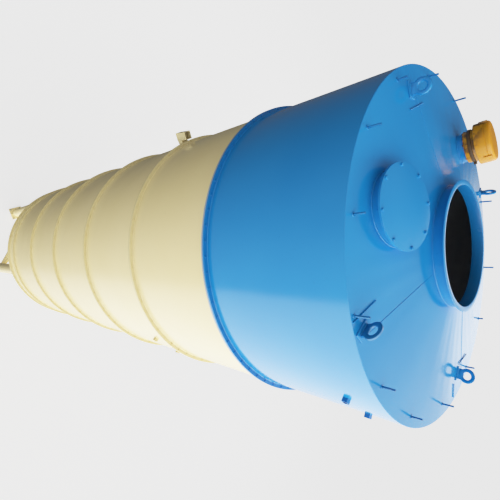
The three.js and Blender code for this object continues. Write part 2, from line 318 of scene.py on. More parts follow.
def studio():
    """The floor, the sky, and a key light that leaves the floor alone."""
    unlit = bpy.data.collections.new("unlit")
    unlit.objects.link(floor())
    sky()
    key = key_light()
    key.light_linking.receiver_collection = unlit
    for entry in unlit.collection_objects:
        entry.light_linking.link_state = "EXCLUDE"


SHOULDER = 0.30                   # linear level above which brightness eases off towards white
TONE_STEPS = 16
TONE_WHITE = 0.9995               # level at the end of the curve
TONE_REACH = 8                    # brightest light that the curve can hold


def before_shoulder(level):
    """The linear light that the eased picture shows at that level."""
    return SHOULDER - (1 - SHOULDER) * math.log((1 - level) / (1 - SHOULDER))


def tone():
    """Eases bright tones off as a photograph does: straight up to the shoulder, then towards white."""
    view = bpy.context.scene.view_settings
    view.view_transform = "Standard"
    view.use_curve_mapping = True
    mapping = view.curve_mapping
    mapping.clip_max_x = TONE_REACH
    combined = mapping.curves[3]
    combined.points[1].location = (before_shoulder(TONE_WHITE), TONE_WHITE)
    for step in range(TONE_STEPS):
        level = SHOULDER + (1 - SHOULDER) * step / TONE_STEPS
        combined.points.new(before_shoulder(level), level)
    for point in combined.points:
        point.handle_type = "VECTOR"
    mapping.update()


FLOOR_FLAT = 130                  # radius where the floor starts to curve up
FLOOR_CURVE = 30                  # radius of that curve
FLOOR_ROUND = 64
FLOOR_NEAR = (12, 30)             # distances from the origin between which paint fades into plain glow
FLOOR_PAINT = 0.40
FLOOR_GLOW = 0.81
FLOOR_LEVEL = 0.807               # brightness far away as the picture shows it, in linear light


def floor():
    """A pale floor that curves up far away and closes overhead. It lights and shades nothing but itself."""
    wall = FLOOR_FLAT + FLOOR_CURVE
    turns = [(math.cos(math.radians(a)), math.sin(math.radians(a))) for a in range(10, 91, 10)]
    profile = [(0, 0), (FLOOR_FLAT, 0)]
    profile += [(FLOOR_FLAT + FLOOR_CURVE * sin, FLOOR_CURVE - FLOOR_CURVE * cos) for cos, sin in turns]
    profile += [(wall * cos, FLOOR_CURVE + wall * sin) for cos, sin in turns]
    verts, faces = revolve(profile[::-1], FLOOR_ROUND)    # from the top down, so that it faces inwards
    mesh = bpy.data.meshes.new("floor")
    mesh.from_pydata(verts, [], faces)
    obj = bpy.data.objects.new("floor", mesh)
    bpy.context.scene.collection.objects.link(obj)

    material, n, shader = new_material("floor")
    near = n.ramp(n.from_point((0, 0, 0)), *FLOOR_NEAR, 1, 0, smooth=True)
    n.feed(shader.inputs["Base Color"], n.mix(near, (0, 0, 0, 1), (FLOOR_PAINT,) * 3 + (1,)))
    shader.inputs["Specular IOR Level"].default_value = 0
    shader.inputs["Emission Color"].default_value = (1, 1, 1, 1)
    n.feed(shader.inputs["Emission Strength"], n.ramp(near, 0, 1, before_shoulder(FLOOR_LEVEL), FLOOR_GLOW))
    mesh.materials.append(material)
    for kind in ("diffuse", "glossy", "transmission", "shadow"):
        setattr(obj, f"visible_{kind}", False)
    return obj


# Materials

MATERIALS = {}


def srgb(code):
    """A colour from its hexadecimal code, in linear light."""
    parts = [int(code[i:i + 2], 16) / 255 for i in (0, 2, 4)]
    linear = [p / 12.92 if p <= 0.04045 else ((p + 0.055) / 1.055) ** 2.4 for p in parts]
    return (*linear, 1.0)


def new_material(name):
    material = bpy.data.materials.new(name)
    material.use_nodes = True
    return material, Nodes(material.node_tree), material.node_tree.nodes["Principled BSDF"]


def paint(name, base, faded, dirt_and_shade, roughness, overspray=None, rust_and_shade=None):
    """Sprayed paint on plate: slow fading, rain streaks, flanges darkened by dirt and by painted shade, and
    orange peel.

    overspray is the colour that drifts down from the blue course. The last argument gives the middle of a
    patch of rust and painted shade, with the distances where it is full and where it ends.
    """
    material, n, shader = new_material(name)
    base, faded, dirt_and_shade = srgb(base), srgb(faded), srgb(dirt_and_shade)
    patches = n.ramp(n.noise(scale=0.7, detail=3), low=0.35, high=0.68)
    streaks = n.ramp(n.noise(scale=4.0, detail=5, stretch=(1, 1, 0.10)), low=0.50, high=0.78, end=0.3)
    specks = n.ramp(n.noise(scale=55.0, detail=3), low=0.66, high=0.76, end=0.35)
    colour = n.mix(specks, n.mix(streaks, n.mix(patches, base, faded), faded), dirt_and_shade)
    if overspray is not None:
        ragged = n.ramp(n.noise(scale=14.0), low=0.3, high=0.7, start=-0.018, end=0.018)
        edge = n.math("ADD", n.height(), ragged)
        drift = n.ramp(edge, low=BLUE_FOOT - 0.075, high=BLUE_FOOT - 0.045, end=0.9)
        colour = n.mix(drift, colour, overspray)
    # A patch of rust and painted shade, darkest below the valve's cap on its shaded side.
    if rust_and_shade is not None:
        near = n.ramp(n.from_point(rust_and_shade["middle"]), rust_and_shade["full"], rust_and_shade["end"], 1, 0, smooth=True)
        blotches = n.ramp(n.noise(scale=16.0), low=0.42, high=0.56, start=0.1, end=0.9)
        colour = n.mix(n.math("MULTIPLY", near, blotches), colour, dirt_and_shade)
    # Flanges darkened partly by dirt and partly by painted shade in the corner against the wall.
    ledge_dirt_and_shade = n.ramp(n.from_axis(), low=RADIUS + 0.003, high=RADIUS + 0.012, end=0.4)
    above_legs = n.ramp(n.height(), low=SKIRT_FOOT - 0.3, high=SKIRT_FOOT - 0.1)
    colour = n.mix(n.math("MULTIPLY", ledge_dirt_and_shade, above_legs), colour, dirt_and_shade)
    gloss = n.ramp(n.noise(scale=3.0), low=0.3, high=0.7, start=roughness - 0.02, end=roughness + 0.03)
    peel = n.bump(n.noise(scale=220.0, detail=2), distance=0.0004, strength=0.30)
    dents = n.bump(n.noise(scale=1.6, detail=2), distance=0.010, strength=0.30, normal=peel)
    n.feed(shader.inputs["Base Color"], colour)
    n.feed(shader.inputs["Roughness"], gloss)
    n.feed(shader.inputs["Normal"], dents)
    return material


def mottled(name, first, second, scale, roughness, metallic=0.0):
    """Bare, dusty or dirty steel in two tones."""
    material, n, shader = new_material(name)
    n.feed(shader.inputs["Base Color"], n.mix(n.noise(scale), srgb(first), srgb(second)))
    shader.inputs["Metallic"].default_value = metallic
    shader.inputs["Roughness"].default_value = roughness
    return material


def materials():
    blue = "187fc5"
    # The yellow's dark patch: rust with painted shade, centred below the cap and moved to its shaded side.
    under_cap = on_roof(VALVE["azimuth"], VALVE["out"]) @ Vector((0, 0, CLAMP_BAND[0]))
    rust_and_shade = {"middle": under_cap - Vector((0.07, 0.05, 0)), "full": 0.16, "end": 0.235}
    MATERIALS["cream"] = paint("cream_paint", "e7d59d", "ead9a5", "c3b98a", 0.22, overspray=srgb(blue))
    MATERIALS["blue"] = paint("blue_paint", blue, "2286ca", "0c62a6", 0.14)
    # Darker copy of the blue: painted shade for the first lug, the posts and the collar bore, seen on their
    # shaded side.
    MATERIALS["dark_blue"] = paint("blue_painted_shade", "1464a0", "1a74b0", "0c4c7c", 0.25)
    MATERIALS["yellow"] = paint("yellow_paint", "cb8400", "d49110", "5c3a10", 0.30, rust_and_shade=rust_and_shade)
    MATERIALS["inside"] = mottled("dark_inside", "8d8e90", "a3a4a5", 6.0, 0.9)
    MATERIALS["zinc"] = mottled("zinc", "9aa0a2", "7c8285", 40.0, 0.4, metallic=0.9)
    MATERIALS["brown"] = mottled("brown_steel", "3e2c16", "6a4a1e", 30.0, 0.55)


# Mesh helpers

def obj_from(name, solid, material, sharp=SHARP, others=()):
    """A mesh object that rides on the silo. others are pairs (material, test) for faces that differ."""
    mesh = bpy.data.meshes.new(name)
    mesh.from_pydata([tuple(v) for v in solid[0]], [], solid[1])
    mesh.materials.append(MATERIALS[material])
    for index, (other, differs) in enumerate(others, 1):
        mesh.materials.append(MATERIALS[other])
        for polygon in mesh.polygons:
            if differs(polygon):
                polygon.material_index = index
    mesh.polygons.foreach_set("use_smooth", [True] * len(mesh.polygons))
    mesh.set_sharp_from_angle(angle=math.radians(sharp))
    mesh.update()
    obj = bpy.data.objects.new(name, mesh)
    bpy.context.scene.collection.objects.link(obj)
    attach(obj, "root")
    return obj


def revolve(profile, segments=ROUND, matrix=Matrix(), wobble=None):
    """Vertices and faces of a solid of revolution about +Z, from (radius, height) corners anticlockwise.

    wobble gives how far a point moves outwards and upwards from its azimuth, radius and height.
    """
    verts, faces, rings = [], [], []
    for radius, height in profile:
        if radius < TINY:
            rings.append([len(verts)])
            verts.append(Vector((0, 0, height)))
            continue
        rings.append(list(range(len(verts), len(verts) + segments)))
        for k in range(segments):
            azimuth = 2 * math.pi * k / segments
            out, up = wobble(azimuth, radius, height) if wobble else (0, 0)
            reach = radius + out
            verts.append(Vector((reach * math.cos(azimuth), reach * math.sin(azimuth), height + up)))
    starts_on_axis = profile[0][0] < TINY
    for i in range(len(rings) - 1 if starts_on_axis else len(rings)):
        a, b = rings[i], rings[(i + 1) % len(rings)]
        for k in range(segments):
            k2 = (k + 1) % segments
            if len(a) == 1:
                faces.append((a[0], b[k2], b[k]))
            elif len(b) == 1:
                faces.append((a[k], a[k2], b[0]))
            else:
                faces.append((a[k], a[k2], b[k2], b[k]))
    return [matrix @ v for v in verts], faces


def eased(corners, radius=0.002, steps=2, flat=165, share=0.4):
    """The corners of a closed profile with each sharp one rounded off.

    Corners flatter than that angle stay, and no rounding takes more than that share of a side.
    """
    out = []
    for i, (x, y) in enumerate(corners):
        before, after = Vector(corners[i - 1]), Vector(corners[(i + 1) % len(corners)])
        here = Vector((x, y))
        to_a, to_b = before - here, after - here
        if x < TINY or to_a.angle(to_b) > math.radians(flat):
            out.append((x, y))
            continue
        cut = min(radius, to_a.length * share, to_b.length * share)
        start, end = here + to_a.normalized() * cut, here + to_b.normalized() * cut
        for s in range(steps + 1):
            t = s / steps
            point = start * (1 - t) ** 2 + here * 2 * t * (1 - t) + end * t ** 2
            out.append((point.x, point.y))
    return out


def tube(points, radius, closed=False, sides=8, ripple=0.0):
    """A round bar or bead along points, capped at its ends unless closed; ripple varies its thickness."""
    aslant = Vector((0.31, 0.17, 0.94))    # no bar or bead runs this way
    points = [Vector(p) for p in points]
    count = len(points)
    verts, faces = [], []
    for i, point in enumerate(points):
        before = points[i - 1] if closed or i > 0 else point
        after = points[(i + 1) % count] if closed or i < count - 1 else point
        along = (after - before).normalized()
        side = along.cross(aslant).normalized()
        up = side.cross(along)
        r = radius * (1 + ripple * random.uniform(-1, 1))
        for k in range(sides):
            spot = 2 * math.pi * k / sides
            verts.append(point + (side * math.cos(spot) + up * math.sin(spot)) * r)
    for i in range(count if closed else count - 1):
        a, b = i * sides, (i + 1) % count * sides
        for k in range(sides):
            k2 = (k + 1) % sides
            faces.append((a + k, b + k, b + k2, a + k2))
    if not closed:
        faces.append(tuple(range(sides)))
        faces.append(tuple(reversed(range((count - 1) * sides, count * sides))))
    return verts, faces


class Batch:
    """Many small closed solids joined in one mesh."""

    def __init__(self):
        self.verts, self.faces = [], []

    def put(self, solid, matrix=Matrix()):
        first = len(self.verts)
        self.verts.extend(matrix @ Vector(v) for v in solid[0])
        self.faces.extend(tuple(first + i for i in face) for face in solid[1])

    def solid(self):
        return self.verts, self.faces

    def finish(self, name, material, sharp=SHARP):
        return obj_from(name, self.solid(), material, sharp)


def disc(radius, low, high, sides, chamfer=0.0):
    """A short prism on +Z, with its top edge chamfered."""
    profile = [(0, low), (radius, low), (radius, high - chamfer)]
    if chamfer > 0:
        profile.append((radius - chamfer, high))
    return revolve(profile + [(0, high)], sides)


# A bolt's parts as shares of its diameter
WASHER_RADIUS, WASHER_THICK = 1.02, 0.15
HEAD_RADIUS, HEAD_TOP, HEAD_CHAMFER = 0.87, 0.75, 0.12
NUT_TOP = 0.95
END_RADIUS, END_FOOT, END_CHAMFER = 0.48, 0.9, 0.08


def washer_and_hexagon(size, top):
    solid = Batch()
    solid.put(disc(size * WASHER_RADIUS, 0, size * WASHER_THICK, sides=16))
    solid.put(disc(size * HEAD_RADIUS, size * WASHER_THICK, size * top, 6, size * HEAD_CHAMFER))
    return solid


def bolt(size):
    """A washer and hexagon head for a bolt of that diameter, standing on +Z."""
    return washer_and_hexagon(size, HEAD_TOP).solid()


def nut_with_end(size, end=0.45):
    """A washer and nut with the end of the bolt showing."""
    solid = washer_and_hexagon(size, NUT_TOP)
    solid.put(disc(size * END_RADIUS, size * END_FOOT, size * (NUT_TOP + end), 10, size * END_CHAMFER))
    return solid.solid()


def plate(corners, thick):
    """A flat plate with the given [x, z] corners anticlockwise seen from -Y, centred on the XZ plane."""
    count = len(corners)
    verts = [(x, -thick / 2, z) for x, z in corners] + [(x, thick / 2, z) for x, z in corners]
    faces = [tuple(range(count)), tuple(reversed(range(count, 2 * count)))]
    faces += [(i, i + count, (i + 1) % count + count, (i + 1) % count) for i in range(count)]
    return verts, faces


def ring_of_quads(count, rings):
    """Faces between rings of that many points, closed round and from the last ring to the first."""
    faces = []
    for ring in range(rings):
        a, b = ring * count, (ring + 1) % rings * count
        for k in range(count):
            k2 = (k + 1) % count
            faces.append((a + k, a + k2, b + k2, b + k))
    return faces


def turn(azimuth):
    return Matrix.Rotation(math.radians(azimuth), 4, "Z")


def shift(x, y, z):
    return Matrix.Translation((x, y, z))


FLIP = Matrix.Rotation(math.pi, 4, "X")
OUTWARD = Matrix.Rotation(math.pi / 2, 4, "Y")    # what stands on +Z then stands on +X


def at(azimuth, out, height):
    a = math.radians(azimuth)
    return Vector((out * math.cos(a), out * math.sin(a), height))


def spaced(start, end, steps):
    """Evenly spaced values, both ends included."""
    return [start + (end - start) * i / steps for i in range(steps + 1)]


def roof_height(out):
    return RIM + (RADIUS - out) * math.tan(SLOPE)


def on_roof(azimuth, out):
    """The frame on the roof sheet at that place: +Z square to the sheet, +X down the slope."""
    return turn(azimuth) @ shift(out, 0, roof_height(out)) @ Matrix.Rotation(SLOPE, 4, "Y")


def hopper_height(out):
    return SPOUT_TOP + (out - SPOUT_RADIUS) * (HOPPER_RIM_FOOT - SPOUT_TOP) / (RADIUS - SPOUT_RADIUS)


def ring_points(radius, height, count):
    return [at(360 * k / count, radius, height) for k in range(count)]


def round_bead(radius, height, count, bead, place=Matrix()):
    """A weld bead in a ring."""
    return tube([place @ p for p in ring_points(radius, height, count)], bead, closed=True, ripple=RIPPLE)


# The cylinder

def plate_wave(azimuth, height):
    """How far rolled plate stands off its true circle: a few slow waves, under 2 mm."""
    return (0.0008 * math.sin(5 * azimuth + 1.3 * height) + 0.0006 * math.sin(9 * azimuth - 2.1 * height)
            + 0.0005 * math.sin(2.3 * height + 3 * azimuth))


def course(name, material, top_flange=True):
    """A plate ring: its wall, with an outward flange at the foot and, unless open, at the top."""
    low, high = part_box(name)[0][2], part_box(name)[1][2]
    inner, flange = RADIUS - WALL, FLANGE_RADIUS
    foot_wall = low + FLANGE_THICK
    top_wall = high - FLANGE_THICK if top_flange else high
    wall_top = top_wall - FILLET if top_flange else top_wall
    wall = [(RADIUS, height) for height in spaced(foot_wall + FILLET, wall_top, WALL_ROWS)]
    profile = [(inner, low), (flange - EDGE, low), (flange, low + EDGE), (flange, foot_wall - EDGE),
               (flange - EDGE, foot_wall), (RADIUS + FILLET, foot_wall)] + wall
    if top_flange:
        profile += [(RADIUS + FILLET, top_wall), (flange - EDGE, top_wall), (flange, top_wall + EDGE),
                    (flange, high - EDGE), (flange - EDGE, high)]
    profile.append((inner, high))

    def wobble(azimuth, radius, height):
        if abs(radius - RADIUS) > TINY:
            return 0, 0
        ease = max(0, min(1, (height - foot_wall) / WAVE_EASE, (high - height) / WAVE_EASE))
        return plate_wave(azimuth, height) * ease - WAVE_SUNK, 0

    def inside(polygon):
        x, y, _ = polygon.center
        return math.hypot(x, y) < RADIUS - WALL / 2 and abs(polygon.normal.z) < 0.5

    obj = obj_from(f"{name}_plate", revolve(profile, wobble=wobble), material, others=[("inside", inside)])
    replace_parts(obj, name)


def plate_seams():
    """The welds that close each rolled plate, two to a course, staggered from one course to the next."""
    beads = {"cream": Batch(), "blue": Batch()}
    for name, azimuth in zip(["skirt_ring"] + COURSES + ["top_course"], PLATE_SEAMS):
        is_top = name == "top_course"
        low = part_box(name)[0][2] + FLANGE_THICK
        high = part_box(name)[1][2] - (0 if is_top else FLANGE_THICK)
        heights = spaced(low, high, int((high - low) / PLATE_BEAD["step"]))
        for half in (0, 180):
            points = [at(azimuth + half, RADIUS - PLATE_BEAD["sunk"], height) for height in heights]
            beads["blue" if is_top else "cream"].put(tube(points, PLATE_BEAD["radius"], ripple=RIPPLE_PLATE))
    for colour, batch in beads.items():
        batch.finish(f"plate_seams_{colour}", colour, SHARP_BEAD)


def seam_bolts():
    bolts = {"blue": Batch(), "cream": Batch()}
    head, nut = bolt(SEAM_BOLT), nut_with_end(SEAM_BOLT)
    for joint in [SKIRT_FOOT, SKIRT_TOP] + [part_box(name)[1][2] for name in COURSES]:
        batch = bolts["blue" if abs(joint - BLUE_FOOT) < FLANGE_THICK / 2 else "cream"]
        for k in range(SEAM_BOLTS):
            place = turn(360 / SEAM_BOLTS * (k + 0.5))
            spin = Matrix.Rotation(random.uniform(0, 1), 4, "Z")
            batch.put(head, place @ shift(BOLT_CIRCLE, 0, joint + FLANGE_THICK) @ spin)
            batch.put(nut, place @ shift(BOLT_CIRCLE, 0, joint - FLANGE_THICK) @ FLIP @ spin)
    for colour, batch in bolts.items():
        batch.finish(f"seam_bolts_{colour}", colour)


# The roof

def roof_wave(azimuth):
    """How far hand-welded sheet stands off its true cone: shallow waves that run down the slope."""
    return (0.0007 * math.sin(7 * azimuth + 0.8) + 0.0005 * math.sin(17 * azimuth)
            + 0.0005 * math.sin(43 * azimuth + 2) * (0.6 + 0.4 * math.sin(3 * azimuth)))


def roof_sheet(hole):
    seat = RADIUS - 4 * WALL
    edge = RADIUS - ROOF_EDGE
    top = [(radius, roof_height(radius)) for radius in spaced(edge, hole, ROOF_ROWS)]
    profile = [(seat, RIM - ROOF_SHEET), (RADIUS, RIM - ROOF_SHEET), (RADIUS, RIM - ROOF_EDGE)] + top
    profile.append((hole, roof_height(hole) - ROOF_SHEET))

    def wobble(azimuth, radius, height):
        if abs(height - roof_height(radius)) > TINY or radius > edge - TINY:
            return 0, 0
        ease = min(1, (edge - radius) / ROOF_EASE, (radius - hole) / ROOF_EASE)
        return 0, (roof_wave(azimuth) - ROOF_SUNK) * ease

    obj = obj_from("roof_sheet", revolve(profile, ROOF_ROUND, wobble=wobble), "blue",
                   others=[("inside", lambda p: p.normal.z < -0.5)])
    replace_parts(obj, "roof_cone")


def collar(outer, hole):
    foot = roof_height(hole) - ROOF_SHEET
    under_rim = COLLAR_TOP - COLLAR_RIM_THICK
    profile = eased([(outer, foot), (outer, under_rim), (COLLAR_RIM, under_rim), (COLLAR_RIM, COLLAR_TOP),
                     (COLLAR_BORE, COLLAR_TOP), (COLLAR_BORE, foot)])

    def bore(polygon):
        return math.hypot(*polygon.center[:2]) < COLLAR_BORE + EDGE and abs(polygon.normal.z) < 0.5

    def unpainted(polygon):
        return polygon.center.z < COLLAR_TOP - COLLAR_PAINTED

    # The bore takes the blue's darker copy: painted shade.
    obj = obj_from("collar", revolve(profile), "blue", others=[("dark_blue", bore), ("inside", unpainted)])
    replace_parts(obj, "roof_collar")


def roof():
    outer = COLLAR_BORE + COLLAR_WALL
    hole = outer + GAP
    roof_sheet(hole)
    collar(outer, hole)
    welds = Batch()
    welds.put(round_bead(outer + BEAD_OUT, roof_height(outer), 160, BEAD))
    start, end = outer + ROOF_BEAD["from_collar"], RADIUS - ROOF_BEAD["from_edge"]
    for azimuth in ROOF_SEAMS:
        points = [at(azimuth, out, roof_height(out) - ROOF_SUNK)
                  for out in spaced(start, end, ROOF_BEAD["steps"])]
        welds.put(tube(points, ROOF_BEAD["radius"], ripple=RIPPLE_ROOF))
    welds.finish("roof_welds", "blue", SHARP_BEAD)


def manhole():
    place = on_roof(MANHOLE["azimuth"], MANHOLE["out"])
    bore, rim, height, lid = (MANHOLE[key] for key in ("bore", "rim", "height", "plate"))
    outer = bore + MANHOLE["wall"]
    below = -MANHOLE["below"]
    neck_top = height - lid - GAP
    neck = eased([(outer, below), (outer, neck_top - lid), (rim, neck_top - lid), (rim, neck_top),
                  (bore, neck_top), (bore, below)], EDGE)
    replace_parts(obj_from("manhole_ring", revolve(neck, FITTING_ROUND, place), "blue"), "manhole_neck")
    cover = eased([(0, height - lid), (rim, height - lid), (rim, height), (0, height)], EDGE)
    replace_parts(obj_from("manhole_lid", revolve(cover, FITTING_ROUND, place), "blue"), "manhole_cover")

    bolts = Batch()
    size, circle = MANHOLE_BOLTS["size"], MANHOLE_BOLTS["circle"]
    for k in range(MANHOLE_BOLTS["count"]):
        spot = place @ turn(360 / MANHOLE_BOLTS["count"] * k + MANHOLE_BOLTS["first"]) @ shift(circle, 0, 0)
        bolts.put(bolt(size), spot @ shift(0, 0, height))
        bolts.put(nut_with_end(size), spot @ shift(0, 0, neck_top - lid) @ FLIP)
    bolts.finish("manhole_bolts", "blue")
    obj_from("manhole_weld", round_bead(outer + BEAD_OUT, 0, 110, BEAD, place), "blue", SHARP_BEAD)


def valve_cap():
    """The valve's cap and lid: a turned shell with a groove where they meet and a rounded crown."""
    wall, body, cap, lid = (VALVE[key] for key in ("wall", "body", "cap", "lid"))
    body_top, cap_top, lid_top = VALVE["body_top"], VALVE["cap_top"], VALVE["lid_top"]
    lip, groove, crown = 0.003, 0.004, 0.026
    crown_out, crown_height = lid - 0.012, cap_top - 0.014
    turns = [math.radians(angle) for angle in range(0, 91, 15)]
    shoulder = [(crown_out + crown * math.cos(a), crown_height + crown * math.sin(a)) for a in turns]
    hollow = [(0, lid_top - wall), (lid - wall, lid_top - wall - 0.006), (cap - wall, cap_top - 0.012),
              (cap - wall, body_top + wall), (body - wall, body_top + wall)]
    side = [(body - wall, body_top), (cap - lip, body_top), (cap, body_top + lip), (cap, LID_SEAM - groove),
            (cap - groove, LID_SEAM - groove / 2), (cap - groove, LID_SEAM + groove / 2),
            (cap - 0.001, LID_SEAM + groove)]
    return hollow + side + shoulder + [(0, lid_top)]


def valve_trim(place):
    """Three screws in the cap's side and three clasps over its joint."""
    cap = VALVE["cap"]
    screw_azimuth, clasp_azimuth = -105, -65
    near, far, low, high = cap - 0.001, cap + 0.010, LID_SEAM - 0.045, LID_SEAM + 0.030
    clasp = plate([(near, low), (far, low), (far, high), (near, high)], thick=0.028)
    trim = Batch()
    for k in range(3):
        screw = place @ turn(120 * k + screw_azimuth) @ shift(cap - 0.002, 0, VALVE["body_top"] + 0.022)
        trim.put(bolt(0.012), screw @ OUTWARD)
        trim.put(clasp, place @ turn(120 * k + clasp_azimuth))
    trim.finish("valve_trim", "yellow")


def valve_clamp(place):
    """The band round the valve's body, the two ears and the bolt that close it, and nuts under the body."""
    body = VALVE["body"]
    low, high = CLAMP_BAND
    thick, bevel, ear_reach, ear_aside, size = 0.008, 0.004, 0.030, 0.010, 0.010
    clamp = Batch()
    band = eased([(body - 0.001, low), (body + thick, low + bevel), (body + thick, high - bevel),
                  (body - 0.001, high)])
    clamp.put(revolve(band, NECK_ROUND, place))
    ear = [(body, low + bevel), (body + ear_reach, low + bevel), (body + ear_reach, high - bevel),
           (body, high - bevel)]
    closing = place @ turn(CLAMP_AZIMUTH)
    for aside in (-ear_aside, ear_aside):
        clamp.put(plate(ear, 0.005), closing @ shift(0, aside, 0))
    pin = closing @ shift(body + 0.019, ear_aside + 0.002, (low + high) / 2)
    clamp.put(nut_with_end(size), pin @ Matrix.Rotation(-math.pi / 2, 4, "X"))
    for k in range(6):
        spot = place @ turn(60 * k) @ shift(body - 0.015, 0, VALVE["neck_top"]) @ FLIP
        clamp.put(nut_with_end(size), spot)
    clamp.finish("valve_clamp", "brown")


def relief_valve():
    place = on_roof(VALVE["azimuth"], VALVE["out"])
    neck, wall, body, below = (VALVE[key] for key in ("neck", "wall", "body", "below"))
    neck_top, body_top = VALVE["neck_top"], VALVE["body_top"]
    bore = neck - wall
    profile = eased([(neck, -below), (neck, neck_top - GAP), (bore, neck_top - GAP), (bore, -below)], 0.001)
    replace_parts(obj_from("valve_neck", revolve(profile, NECK_ROUND, place), "blue"), "relief_valve_neck")
    profile = eased([(body, neck_top), (body, body_top - GAP), (body - wall, body_top - GAP),
                     (body - wall, neck_top + wall), (bore, neck_top + wall), (bore, neck_top)], EDGE)
    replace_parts(obj_from("valve_body", revolve(profile, NECK_ROUND, place), "yellow"), "relief_valve_body")
    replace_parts(obj_from("valve_cap", revolve(valve_cap(), FITTING_ROUND, place), "yellow"),
                "relief_valve_cap")
    valve_trim(place)
    valve_clamp(place)
    obj_from("valve_weld", round_bead(neck + BEAD_OUT, 0, 80, BEAD_SMALL, place), "blue", SHARP_BEAD)


def lug_outline(grow, steps=44):
    """The ring-shaped lifting plate's outline, grown or shrunk by a distance."""
    radius, centre, foot = LUG["radius"] + grow, LUG["centre"], LUG["foot_half"] + grow
    meet = math.asin(LUG["foot_half"] / LUG["radius"])
    angles = spaced(meet - math.pi / 2, math.pi * 3 / 2 - meet, steps)
    arc = [(radius * math.cos(angle), centre + radius * math.sin(angle)) for angle in angles]
    return [(foot, 0.0)] + arc + [(-foot, 0.0)]


def lug_plate():
    """The lifting plate as rings of points round its section: outer outline, then the eye."""
    half, edge, hole, centre = LUG["thick"] / 2, LUG["edge"], LUG["hole"], LUG["centre"]
    outer, inner = lug_outline(0), lug_outline(-edge)
    spots = [math.atan2(z - centre, x) for x, z in outer]
    eye, wide = ([(radius * math.cos(spot), centre + radius * math.sin(spot)) for spot in spots]
                 for radius in (hole, hole + edge))
    layers = [(outer, -half + edge), (outer, half - edge), (inner, half), (wide, half), (eye, half - edge),
              (eye, -half + edge), (wide, -half), (inner, -half)]
    verts = [(x, y, z) for line, y in layers for x, z in line]
    return verts, ring_of_quads(len(outer), len(layers))


def lug_pad():
    """The flat foot under a lifting plate, its upper edges softened and its underside let into the sheet."""
    long, wide, thick, edge = (LUG_PAD[key] for key in ("long", "wide", "thick", "edge"))
    verts = [(x * (long / 2 - cut), y * (wide / 2 - cut), z)
             for cut, z in ((0, -edge), (0, thick - edge), (edge, thick))
             for x, y in ((-1, -1), (1, -1), (1, 1), (-1, 1))]
    faces = [(3, 2, 1, 0), (8, 9, 10, 11)]
    faces += [(a + k, a + (k + 1) % 4, a + 4 + (k + 1) % 4, a + 4 + k) for a in (0, 4) for k in range(4)]
    return verts, faces


def lifting_lugs():
    """Four lifting plates on their feet. The one that stands in shade takes the blue's darker copy, as
    painted shade.
    """
    verts, faces = lug_plate()
    welds, pads = Batch(), Batch()
    foot, half = LUG["foot_half"], LUG["thick"] / 2
    for i, (azimuth, out, twist, lean) in enumerate(LUG_PLACES):
        flat = on_roof(azimuth, out) @ turn(twist)
        leaning = Matrix.Identity(4)
        leaning[1][2] = -math.tan(math.radians(lean))
        placed = [flat @ leaning @ Vector(v) for v in verts]
        # The first plate gets the darker blue: painted shade.
        obj = obj_from(f"lug_ring_{i + 1}", (placed, faces), "dark_blue" if i == 0 else "blue", SHARP_BAR)
        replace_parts(obj, f"lifting_lug_{i + 1}")
        pads.put(lug_pad(), flat)
        for side in (-half, half):
            line = [flat @ Vector((x, side, LUG_PAD["thick"])) for x in spaced(-foot, foot, 20)]
            welds.put(tube(line, BEAD, ripple=RIPPLE_SMALL))
    welds.finish("lug_welds", "blue", SHARP_BEAD)
    pads.finish("lug_pads", "blue")


def posts():
    """Short handrail posts, and the bars left on the sheet."""
    uprights, bars, welds = Batch(), Batch(), Batch()
    for azimuth, out, height in POSTS:
        base = roof_height(out)
        lean = Vector((random.uniform(-1, 1), random.uniform(-1, 1), 0)) * POST["lean"]
        foot = at(azimuth, out, base - POST["sunk"])
        along = at(azimuth, out, base + height) + lean - foot
        levels = [0, 0.5, 1 - POST["end"] / height, 1]
        uprights.put(tube([foot + along * t for t in levels], POST["radius"], sides=POST["sides"]))
        ring = ring_points(POST_WELD["ring"], POST["sunk"], POST_WELD["points"])
        welds.put(tube([foot + p for p in ring], POST_WELD["radius"], closed=True, ripple=RIPPLE_SMALL))
    for ends in LOOSE_BARS:
        start, end = (at(azimuth, out, roof_height(out) + BAR["radius"]) for out, azimuth in ends)
        bars.put(tube([start, (start + end) / 2, end], BAR["radius"], sides=BAR["sides"]))
    # The posts get the darker blue: painted shade, as they are seen from their shaded side.
    uprights.finish("roof_posts", "dark_blue", SHARP_BAR)
    bars.finish("loose_bars", "blue", SHARP_BAR)
    welds.finish("post_welds", "blue", SHARP_BEAD)


# Hopper, legs and bracing

